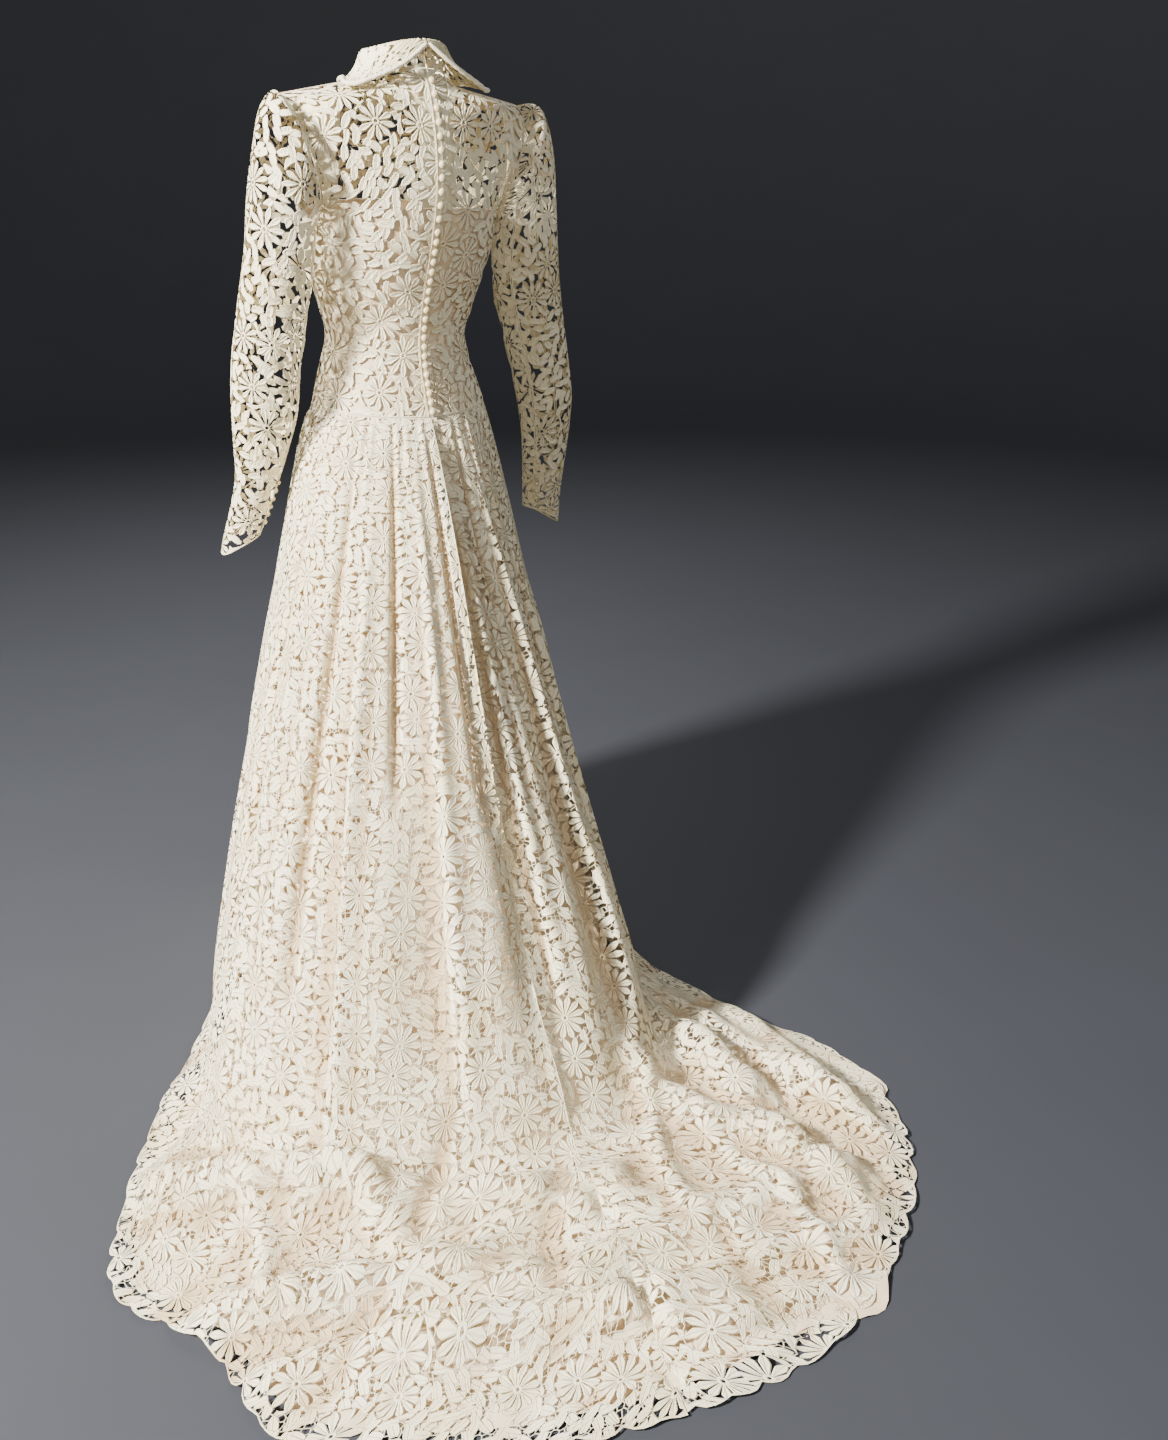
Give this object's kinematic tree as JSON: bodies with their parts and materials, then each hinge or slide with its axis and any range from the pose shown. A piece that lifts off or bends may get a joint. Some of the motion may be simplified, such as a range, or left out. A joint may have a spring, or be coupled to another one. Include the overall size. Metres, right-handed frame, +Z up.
{
  "type": "lace wedding dress with long sleeves and train",
  "caption": "Ivory corded lace wedding dress with a turned-down collar, long pointed sleeves, buttons down the back and a rounded floor train over satin.",
  "frame": {"origin": "middle of the shoulder line, between the two shoulder seams, where the wearer carries the dress", "axes": "+Z up, -Y to the front of the wearer, +X to the wearer's left; the train lies out behind along +Y"},
  "size_m": [1.1356, 1.5656, 1.5008],
  "materials": {
    "lace": "corded lace",
    "satin": "satin",
    "trim": "satin"
  },
  "bodies": {
    "root": {"bodice_front": "lace", "bodice_back_left": "lace", "bodice_back_right": "lace", "sleeve_left_top": "lace", "sleeve_left_under": "lace", "sleeve_right_top": "lace", "sleeve_right_under": "lace", "collar_left": "lace", "collar_right": "lace", "skirt_front": "lace", "skirt_side_left": "lace", "skirt_back_left": "lace", "skirt_back_right": "lace", "skirt_side_right": "lace", "lining_front": "satin", "lining_back_left": "satin", "lining_back_right": "satin", "lining_skirt_front": "satin", "lining_skirt_left": "satin", "lining_skirt_back": "satin", "lining_skirt_right": "satin", "facing_left": "trim", "facing_right": "trim", "shoulder_pad_left": "trim", "shoulder_pad_right": "trim", "button_01": "trim", "button_02": "trim", "button_03": "trim", "button_04": "trim", "button_05": "trim", "button_06": "trim", "button_07": "trim", "button_08": "trim", "button_09": "trim", "button_10": "trim", "button_11": "trim", "button_12": "trim", "button_13": "trim", "button_14": "trim", "button_15": "trim", "button_16": "trim", "button_17": "trim", "button_18": "trim", "button_19": "trim", "button_20": "trim", "button_21": "trim", "button_22": "trim", "button_23": "trim", "button_24": "trim", "button_25": "trim", "button_26": "trim", "button_27": "trim", "button_28": "trim", "button_29": "trim", "button_30": "trim", "button_31": "trim", "button_32": "trim", "button_33": "trim", "cuff_buttons_left": "trim", "cuff_buttons_right": "trim"}
  },
  "joints": []
}
